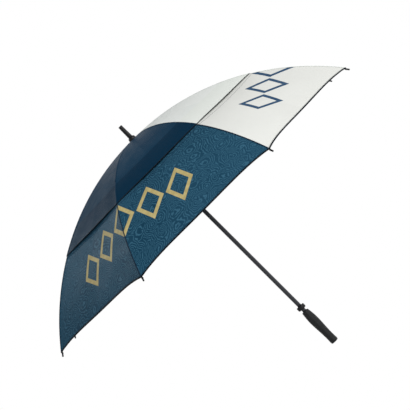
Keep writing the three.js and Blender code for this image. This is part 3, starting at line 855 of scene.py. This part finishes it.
def tip_for(rib, body):
    r, length = TIP_RADIUS, TIP_LENGTH
    outline = [(0, 0.009), (0.0021, 0.009), (0.0021, 0), (r * 0.96, 0), (r, 0.0005), (r, 0.0022)]
    outline += [(r * 0.88, 0.003), (r * 0.88, 0.0042), (r, 0.005), (r, length - 0.0012)]
    outline += [(r * 0.93, length - 0.0005), (r * 0.8, length - 0.0001), (0, length)]
    tip = lathe(f"tip_{rib}", outline, BLACK_PLASTIC, 24)
    start = HALF_ANGLE + TIP_PAST_HEM / RIB_RADIUS
    tip.data.transform(on_rib(start, rib) @ Matrix.Rotation(pi / 2, 4, "Y"))
    place(tip, body, "black_plastic", f"rib_tip_{rib}")


def thread_round(name, rib, angle, radius, thickness):
    """A few turns of thread round the rib."""
    reach = THREAD_TURNS * 1.1 * thickness
    points = []
    for x in steps(-reach, reach, THREAD_TURNS * THREAD_STEPS):
        turn = TURN * THREAD_TURNS * (x + reach) / (2 * reach)
        points.append(Vector((x, radius * sin(turn), radius * cos(turn))))
    obj = swept(name, points, circle(thickness / 2, 6), THREAD_BLACK, up=Vector((1, 0, 0)))
    obj.data.transform(on_rib(angle, rib))
    place(obj, f"rib_inner_{rib}" if angle < JOINT_ANGLE else f"rib_outer_{rib}", "binding")


def ties_for(rib):
    """Threads that tie the cloth to the rib, and that sew its corner to the tip."""
    for index, share in enumerate(TIE_SHARES):
        thread_round(f"tie_{rib}_{index + 1}", rib, HALF_ANGLE * share, 0.0023, 0.0007)
    thread_round(f"tip_thread_{rib}", rib, HALF_ANGLE + 0.0028 / RIB_RADIUS, 0.0029, 0.0006)


def stretcher_for(rib):
    """The bar from the rib's fork to the runner, with a low ridge along each face."""
    start = Vector((PIN_R, 0, PIN_Z))
    run = Vector((PIVOT_R, 0, RUNNER_Z)) - start
    length = run.length
    outline = arc_outline((0, 0), BAR_HALF_HEIGHT, 90, 270)
    outline += arc_outline((length, 0), BAR_HALF_HEIGHT, -90, 90)
    bar = bevelled(slab(f"bar_{rib}", outline, -BAR_HALF_WIDTH, BAR_HALF_WIDTH, FIBRE), 0.0003)
    rail = rectangle(0.008, length - 0.02, -0.0012, 0.0012)
    half_width = BAR_HALF_WIDTH + 0.0003
    ridge = slab(f"ridge_{rib}", rail, -half_width, half_width, FIBRE)
    obj = joined(f"stretcher_bar_{rib}", [bar, bevelled(ridge, 0.0002)])
    turn = Matrix.Rotation(atan2(-run.z, run.x), 4, "Y")
    obj.data.transform(Matrix.Translation(start) @ turn)
    turn_to_rib(obj, rib)
    place(obj, f"stretcher_{rib}", "fibreglass", f"stretcher_{rib}")


# ---- hub, shaft and handle

RUNNER_LOW, RUNNER_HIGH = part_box("runner")
RUNNER_Z = RUNNER_LOW.z + 0.040
SHAFT_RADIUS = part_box("shaft")[1].x
SLEEVE_BORE = SHAFT_RADIUS + 0.0003
CORE_RADIUS = 0.009
HUB_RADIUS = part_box("top_notch")[1].x
TOOTH_ROOT = CORE_RADIUS - 0.0006  # inside the core
TOOTH_STEPS = 6
TOOTH_BELOW_TOP = 0.0004
WIRE_RADIUS = 0.0006


def tooth(name, azimuth, low, high):
    """One tooth between two ribs' slots: a wedge whose sides run along the slots."""
    arcs = []
    for radius in (TOOTH_ROOT, HUB_RADIUS):
        open_by = asin(SLOT_HALF_WIDTH / radius)
        turns = steps(open_by - HALF_STEP, HALF_STEP - open_by, TOOTH_STEPS)
        arcs.append([(radius * cos(t), radius * sin(t)) for t in turns])
    outline = arcs[0] + arcs[1][::-1]
    ends = ([(x, y, z) for x, y in outline] for z in (low, high))
    obj = bevelled(prism(name, *ends, BLACK_PLASTIC), 0.0005)
    obj.data.transform(Matrix.Rotation(azimuth, 4, "Z"))
    return obj


def teeth(prefix, low, high):
    middles = [rib_azimuth(rib) + HALF_STEP for rib in range(1, RIBS + 1)]
    return [tooth(f"{prefix}_{i}", middle, low, high) for i, middle in enumerate(middles)]


def wire_ring(name, z, body, *nodes):
    """The wire that the ribs or the stretchers turn on."""
    points = [Vector((x, y, z)) for x, y in circle(PIVOT_R, 64)]
    ring = swept(name, points, circle(WIRE_RADIUS, 8), STEEL, closed=True)
    place(ring, body, "steel", *nodes)


def build_notch():
    low, high = (corner.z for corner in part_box("top_notch"))
    bore, core = SLEEVE_BORE, CORE_RADIUS
    outline = [(bore, low), (core + 0.0008, low), (core, low + 0.002), (core, high), (bore, high)]
    parts = [lathe("notch_core", outline, BLACK_PLASTIC)]
    parts += teeth("notch_tooth", low + 0.0025, high - TOOTH_BELOW_TOP)
    place(joined("notch_body", parts), "shaft", "black_plastic", "top_notch")
    wire_ring("notch_tie_wire", PIVOT_Z, "shaft", "notch_wire")


BUTTON_HALF_WIDTH = 0.0027
BUTTON_IN, BUTTON_OUT = 0.0104, 0.0152  # radii
BUTTON_GAP = 0.0003
BOSS_WALL = 0.0016  # from the button, with the gap
BOSS_OUT = 0.012
BAND_COUNT = 3
BAND_PITCH = 0.0018


def build_runner():
    low, high = RUNNER_LOW.z, RUNNER_HIGH.z
    bore, core = SLEEVE_BORE, CORE_RADIUS
    outline = [(bore, low), (core + 0.0014, low), (core + 0.002, low + 0.0006)]
    outline += [(core + 0.002, low + 0.0018), (core + 0.0008, low + 0.0034), (core, low + 0.0045)]
    outline += [(core, high - 0.0004), (core - 0.0004, high), (bore, high)]
    sleeve = lathe("runner_sleeve", outline, BLACK_PLASTIC)
    button_low, button_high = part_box("latch_button")
    middle = (button_low + button_high) / 2
    half_height = (button_high.z - button_low.z) / 2
    turn = Matrix.Rotation(atan2(middle.y, middle.x), 4, "Z")
    at_button = turn @ Matrix.Translation((0, 0, middle.z))
    gap_y, gap_z = BUTTON_HALF_WIDTH + BUTTON_GAP, half_height + BUTTON_GAP
    boss_y, boss_z = BUTTON_HALF_WIDTH + BOSS_WALL, half_height + BOSS_WALL
    opening = rectangle(bore - 0.001, BOSS_OUT, -gap_z, gap_z)
    window = slab("button_window", opening, -gap_y, gap_y, BLACK_PLASTIC)
    window.data.transform(at_button)
    cut_out(sleeve, window)
    parts = [sleeve] + teeth("runner_tooth", RUNNER_Z - 0.0062, high - TOOTH_BELOW_TOP)
    for index in range(BAND_COUNT):
        z = low + 0.0058 + BAND_PITCH * index
        inner, outer = core - 0.0004, core + 0.0004
        band = [(inner, z - 0.0006), (outer, z - 0.0004), (outer, z + 0.0004), (inner, z + 0.0006)]
        parts.append(lathe(f"runner_band_{index}", band, BLACK_PLASTIC))
    for side in (-1, 1):
        wall = rectangle(core - 0.001, BOSS_OUT, -boss_z, boss_z)
        lip = rectangle(core - 0.001, BOSS_OUT, *sorted((side * gap_z, side * boss_z)))
        beside = sorted((side * gap_y, side * boss_y))
        boss = [slab(f"boss_wall_{side}", wall, *beside, BLACK_PLASTIC)]
        boss.append(slab(f"boss_lip_{side}", lip, -boss_y, boss_y, BLACK_PLASTIC))
        for part in boss:
            bevelled(part, 0.0004)
            part.data.transform(at_button)
        parts += boss
    place(joined("runner_body", parts), "runner", "black_plastic", "runner")
    wire_ring("runner_tie_wire", RUNNER_Z, "runner")

    start, end, top = BUTTON_IN, BUTTON_OUT, half_height
    face = [(start, -top), (end - 0.0012, -top), (end, -top + 0.0012)]
    face += [(end - 0.0003, -0.004), (end - 0.0009, 0.0), (end - 0.0003, 0.004)]
    face += [(end, top - 0.0012), (end - 0.0012, top), (start, top)]
    button = slab("button_body", face, -BUTTON_HALF_WIDTH, BUTTON_HALF_WIDTH, BLACK_PLASTIC)
    bevelled(button, 0.0005, segments=3)
    button.data.transform(at_button)
    place(button, "latch", "black_plastic", "latch_button")


SHAFT_BORE = 0.0055


def turned(name, outline, node, material=BLACK_PLASTIC, slot="black_plastic", sides=64):
    """A turned piece that stands on the shaft."""
    place(lathe(name, outline, material, sides), "shaft", slot, node)


def build_shaft():
    """The tube, and the collar on it that stops the runner."""
    low, high = (corner.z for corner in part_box("shaft"))
    bore, r, cut = SHAFT_BORE, SHAFT_RADIUS, 0.0003
    outline = [(bore, low), (r - cut, low), (r, low + cut)]
    outline += [(r, high - cut), (r - cut, high), (bore, high)]
    turned("shaft_tube", outline, "shaft", SHAFT_COAT, "shaft_grey", 48)
    low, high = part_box("catch_collar")
    r = high.x
    outline = [(SLEEVE_BORE, low.z), (r - 0.0004, low.z), (r, low.z + 0.0004), (r, high.z - 0.0014)]
    outline += [(r - 0.0004, high.z - 0.0004), (r - 0.0014, high.z), (SLEEVE_BORE, high.z)]
    turned("stop_collar", outline, "catch_collar", STEEL, "steel")


FERRULE_STEM = 0.0052  # its radii: inside the shaft, inside the crown cap and at its tip
FERRULE_NECK = 0.0069
FERRULE_TIP = 0.0068
FERRULE_STEPS = 10
SEAT_GAP = 0.0003


def build_ferrule():
    low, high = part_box("ferrule")
    stem, base = FERRULE_STEM, high.x
    base_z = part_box("shaft")[1].z + SEAT_GAP
    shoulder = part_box("crown_cap")[1].z + SEAT_GAP
    outline = [(0, low.z), (stem, low.z), (stem, base_z), (FERRULE_NECK, base_z)]
    outline += [(FERRULE_NECK, shoulder), (base - 0.0004, shoulder), (base, shoulder + 0.0004)]
    for i in range(FERRULE_STEPS + 1):
        share = i / FERRULE_STEPS
        z = shoulder + 0.003 + share * (high.z - 0.0015 - shoulder - 0.003)
        outline.append((base + (FERRULE_TIP - base) * share**0.8, z))
    outline += [(FERRULE_TIP - 0.0003, high.z - 0.0006), (FERRULE_TIP - 0.001, high.z - 0.0001)]
    outline += [(FERRULE_TIP - 0.0014, high.z), (0, high.z)]
    turned("ferrule_body", outline, "ferrule")


CAP_FOOT = 0.0092  # radius of the cap's top, round the ferrule
CAP_RIM = 0.003  # height of its turned rim
CAP_STEPS = 8


def build_crown_cap():
    """A bell with a turned rim."""
    low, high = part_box("crown_cap")
    r, neck, rim = high.x, high.x - 0.0009, low.z + CAP_RIM
    outline = [(SLEEVE_BORE, low.z), (r - 0.0008, low.z), (r, low.z + 0.0008), (r, low.z + 0.0018)]
    outline += [(r - 0.0004, low.z + 0.0026), (neck, rim)]
    rise = high.z - low.z - CAP_RIM
    for angle in steps(8, 90, CAP_STEPS):
        turn = radians(angle)
        outline.append((CAP_FOOT + (neck - CAP_FOOT) * cos(turn), rim + rise * sin(turn)))
    outline += [(SLEEVE_BORE, high.z)]
    turned("crown_cap_body", outline, "crown_cap")


CUP_WALL = 0.0018


def build_tip_cup():
    """The cup that takes the rib tips when the umbrella is folded."""
    low, high = (corner.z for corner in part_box("tip_cup"))
    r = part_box("tip_cup")[1].x
    bore, inside = SLEEVE_BORE, r - CUP_WALL
    outline = [(bore, low), (r - 0.0026, low), (r - 0.0012, low + 0.0006), (r - 0.0003, low + 0.0018)]
    outline += [(r, low + 0.003), (r, high - 0.0008), (r - 0.0005, high - 0.0001)]
    outline += [(inside + 0.0004, high), (inside, high - 0.0005), (inside, low + 0.0055)]
    outline += [(bore + 0.002, low + 0.005), (bore, low + 0.0058)]
    turned("tip_cup_body", outline, "tip_cup")


GRIP_TOP, GRIP_BELLY, GRIP_WAIST, GRIP_END = 0.0122, 0.0159, 0.0132, 0.0139
GRIP_BELLY_Z, GRIP_WAIST_Z = 0.098, 0.028
GRIP_FLATS = 8
GRIP_FLAT_DEPTH = 0.0007
GRIP_STEPS = 60


def grip_radius(z, low, high):
    """The grip swells from its top to its belly, narrows to a waist and flares to its end."""
    if z > GRIP_BELLY_Z:
        share = (high - z) / (high - GRIP_BELLY_Z)
        return GRIP_TOP + (GRIP_BELLY - GRIP_TOP) * sin(share * pi / 2)
    if z < GRIP_WAIST_Z:
        return GRIP_WAIST + (GRIP_END - GRIP_WAIST) * ((GRIP_WAIST_Z - z) / (GRIP_WAIST_Z - low)) ** 2
    share = (z - GRIP_WAIST_Z) / (GRIP_BELLY_Z - GRIP_WAIST_Z)
    return GRIP_WAIST + (GRIP_BELLY - GRIP_WAIST) * (1 - cos(share * pi)) / 2


def build_grip():
    low, high = (corner.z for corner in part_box("grip"))
    outline = [(SLEEVE_BORE, low), (GRIP_END - 0.0015, low), (GRIP_END - 0.0004, low + 0.0006)]
    for z in steps(low + 0.0016, high - 0.0012, GRIP_STEPS):
        outline.append((grip_radius(z, low, high), z))
    outline += [(GRIP_TOP - 0.0005, high - 0.0003), (GRIP_TOP - 0.0013, high), (SLEEVE_BORE, high)]
    grip = lathe("grip_body", outline, GRIP_RUBBER, 96, flats=GRIP_FLATS, flat_depth=GRIP_FLAT_DEPTH)
    place(grip, "shaft", "grip_rubber", "grip")
    low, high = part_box("grip_end_cap")
    r = high.x
    outline = [(0, 0), (r - 0.0018, 0), (r - 0.0006, 0.0003), (r, 0.001), (r, 0.003)]
    outline += [(0.0052, 0.003), (0.0052, high.z), (0, high.z)]
    turned("end_cap_body", outline, "grip_end_cap")


STRAP_WIDTH = 0.022
STRAP_START, STRAP_END = 0.66, 0.93  # shares of the arc
STRAP_STEPS = 24
STRAP_FROM_SEAM = 0.014
STRAP_LIFT = 0.0009  # each layer's middle over the one under it
FASTENER_HALF_WIDTH = 0.009


def flat_band(name, points, ups, half_width, material, slot, *nodes):
    """A flat band that lies on the strap's petal."""
    obj = swept(name, points, cut_box(half_width, 0.0005, cut=0.0003), material, up=ups)
    turn_to_rib(obj, STRAP_RIB)
    place(obj, f"rib_outer_{STRAP_RIB}", slot, *nodes)
    return fold_away(obj)


def build_strap():
    """The closing strap: a band of webbing, with a touch fastener near its end."""
    points, ups = [], []
    for share in steps(STRAP_START, STRAP_END, STRAP_STEPS):
        width = (STRAP_FROM_SEAM + STRAP_WIDTH / 2) / gore_width(share)
        sine, cosine = sin(HALF_ANGLE * share), cos(HALF_ANGLE * share)
        up = Vector((sine * cos(HALF_STEP), sine * sin(HALF_STEP), cosine))
        points.append(sheet_point(LOWER_RADIUS, share, width, *lower_shape(share)) + up * STRAP_LIFT)
        ups.append(up)
    near_end = slice(-7, -1)
    raised = [p + up * STRAP_LIFT for p, up in zip(points[near_end], ups[near_end])]
    half = STRAP_WIDTH / 2
    strap = flat_band("strap_web", points, ups, half, STRAP_WEB, "fabric_navy", "closing_strap")
    half = FASTENER_HALF_WIDTH
    patch = flat_band("strap_fastener", raised, ups[near_end], half, BINDING, "binding")


for rib_number in range(1, RIBS + 1):
    for build in (canopy_for, seams_for, rib_for, stretcher_for):
        build(rib_number)
for build in (build_notch, build_runner, build_shaft, build_ferrule):
    build()
for build in (build_crown_cap, build_tip_cup, build_grip, build_strap):
    build()

# ---- floor, light and camera

FLOOR_Z = -1.05
FLOOR_RADIUS = 1.15
FLOOR_THICKNESS = 0.02
LIT_POINT = (0, 0, 0.75)


def build_floor():
    n = Finish("floor_paint")
    n.set(Base_Color=srgb(244, 244, 244), Roughness=0.8)
    n.set(Emission_Color=srgb(255, 255, 255), Emission_Strength=0.22)
    outline = rectangle(0, FLOOR_RADIUS, FLOOR_Z - FLOOR_THICKNESS, FLOOR_Z)
    floor = lathe("floor", outline, n.material, 96)


def aim(obj, location, target, roll=0.0):
    """Stands a light or camera at its place, turned to its target."""
    obj.location = location
    obj.rotation_mode = "QUATERNION"
    level = (Vector(target) - Vector(location)).to_track_quat("-Z", "Y")
    obj.rotation_quaternion = level @ Matrix.Rotation(-roll, 4, "Z").to_quaternion()


def area_light(name, location, power, size, colour=(1, 1, 1)):
    data = bpy.data.lights.new(name, "AREA")
    data.energy = power
    data.size = size
    data.color = colour
    aim(add_object(name, data), location, LIT_POINT)


BAND_TOP = 0.58  # sine of the height up to which the studio's walls are white
BAND_FADE = 0.22
CEILING = 0.22
DIM_SIDE = 0.62
SIDE_FADE = 0.8


def build_world():
    """White walls, brighter on the right, under a dim ceiling. The camera itself sees plain white."""
    world = bpy.data.worlds.new("studio")
    bpy.context.scene.world = world
    world.use_nodes = True
    n = Nodes(world.node_tree)
    towards = n.node("ShaderNodeSeparateXYZ")
    n.feed(towards.inputs[0], n.node("ShaderNodeTexCoord").outputs["Generated"])
    height = n.spread(towards.outputs["Z"], BAND_TOP, BAND_TOP + BAND_FADE, 1.0, CEILING)
    side = n.spread(towards.outputs["X"], -SIDE_FADE, SIDE_FADE, DIM_SIDE, 1.0)
    camera_ray = n.node("ShaderNodeLightPath").outputs["Is Camera Ray"]
    background = n.tree.nodes["Background"]
    background.inputs["Color"].default_value = (1, 1, 1, 1)
    strength = n.math("MAXIMUM", n.math("MULTIPLY", height, side), camera_ray)
    n.feed(background.inputs["Strength"], strength)


def build_light():
    build_world()
    area_light("key", (1.9, -1.9, 1.75), power=46, size=1.2)
    area_light("back", (-2.0, 2.2, 2.3), power=32, size=1.4, colour=(0.8, 0.92, 1.0))


CAMERA_AT = (0.0170, -4.6970, 0.7300)
CAMERA_AIM = (0.0150, 0.0, 0.6203)
CAMERA_ROLL = radians(45.06)
CAMERA_LENS = 125.6
SENSOR_WIDTH = 36


def build_camera():
    data = bpy.data.cameras.new("camera")
    data.lens = CAMERA_LENS
    data.sensor_width = SENSOR_WIDTH
    camera = add_object("camera", data)
    aim(camera, CAMERA_AT, CAMERA_AIM, CAMERA_ROLL)
    bpy.context.scene.camera = camera


build_floor()
build_light()
build_camera()
bpy.context.scene.view_settings.view_transform = "Standard"
